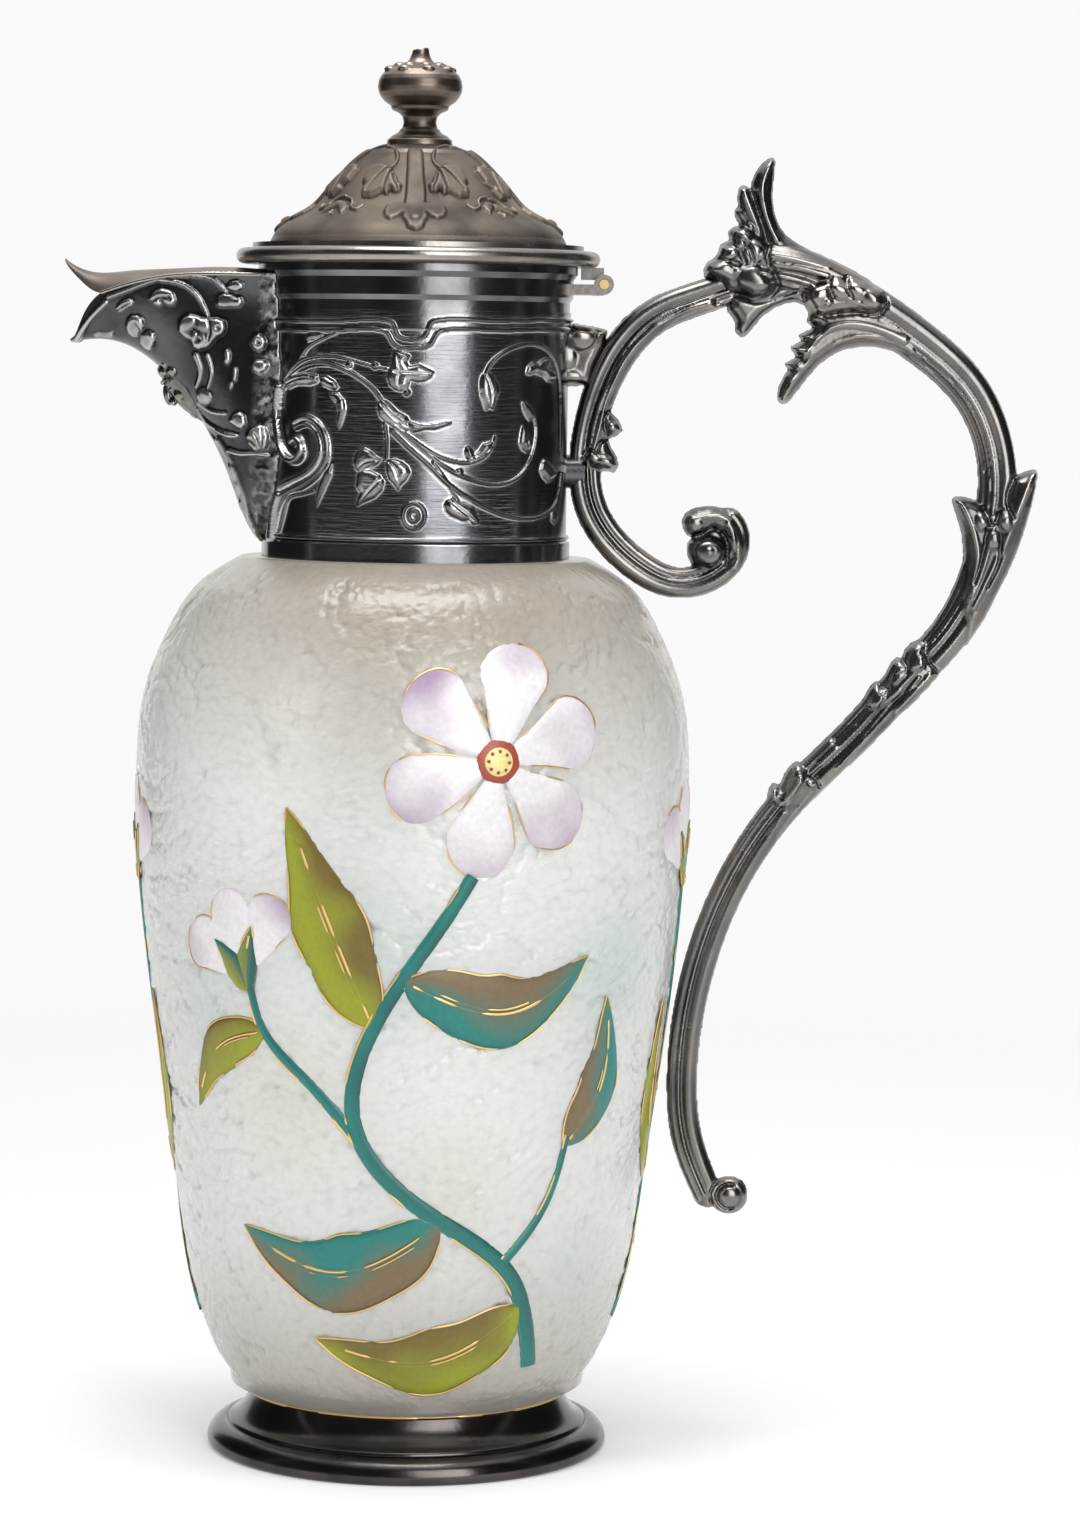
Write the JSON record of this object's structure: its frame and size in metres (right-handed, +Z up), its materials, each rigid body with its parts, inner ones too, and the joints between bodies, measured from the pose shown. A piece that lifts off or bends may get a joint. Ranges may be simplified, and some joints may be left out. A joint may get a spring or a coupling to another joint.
{
  "type": "serving carafe with hinged lid",
  "caption": "Frosted glass carafe in cast metal mounts, with a beak spout, a domed lid on a barrel hinge and a scrolled handle.",
  "frame": {"origin": "centre of the foot's underside, on the axis of the glass body", "axes": "+Z up along the axis of the glass body, -X towards the spout, +X towards the hinge and the handle"},
  "size_m": [0.2085, 0.1186, 0.3],
  "materials": {
    "glass": "frosted, chipped-ice texture with flat enamel flowers",
    "silver": "tarnished silver plate, bright on raised ornament",
    "lid_silver": "brown-toned tarnished silver plate, satin",
    "plaster": "dull plaster bed",
    "brass": "worn brass"
  },
  "bodies": {
    "carafe": {"glass_body": "glass", "foot_ring": "silver", "foot_cement": "plaster", "collar_cement": "plaster", "neck_collar": "silver", "collar_base_ring": "silver", "collar_mouth_ring": "silver", "spout_beak": "silver", "spout_hood": "lid_silver", "spout_mask": "silver", "hinge_leaf_collar": "silver", "hinge_pin": "brass", "handle_upper_boss": "silver", "handle_lower_pad": "silver", "handle_inner_scroll": "silver", "handle_main_scroll": "silver"},
    "lid": {"lid_rim": "silver", "lid_bezel": "silver", "lid_dome": "lid_silver", "finial_knob": "lid_silver", "finial_washer": "brass", "finial_nut": "brass", "hinge_leaf_lid": "silver"}
  },
  "joints": [
    {"name": "lid_hinge", "type": "hinge", "parent": "carafe", "child": "lid", "pos_m": [0.0395, 0, 0.2504], "axis": [0, 1, 0], "range_deg": [0, 95]}
  ]
}
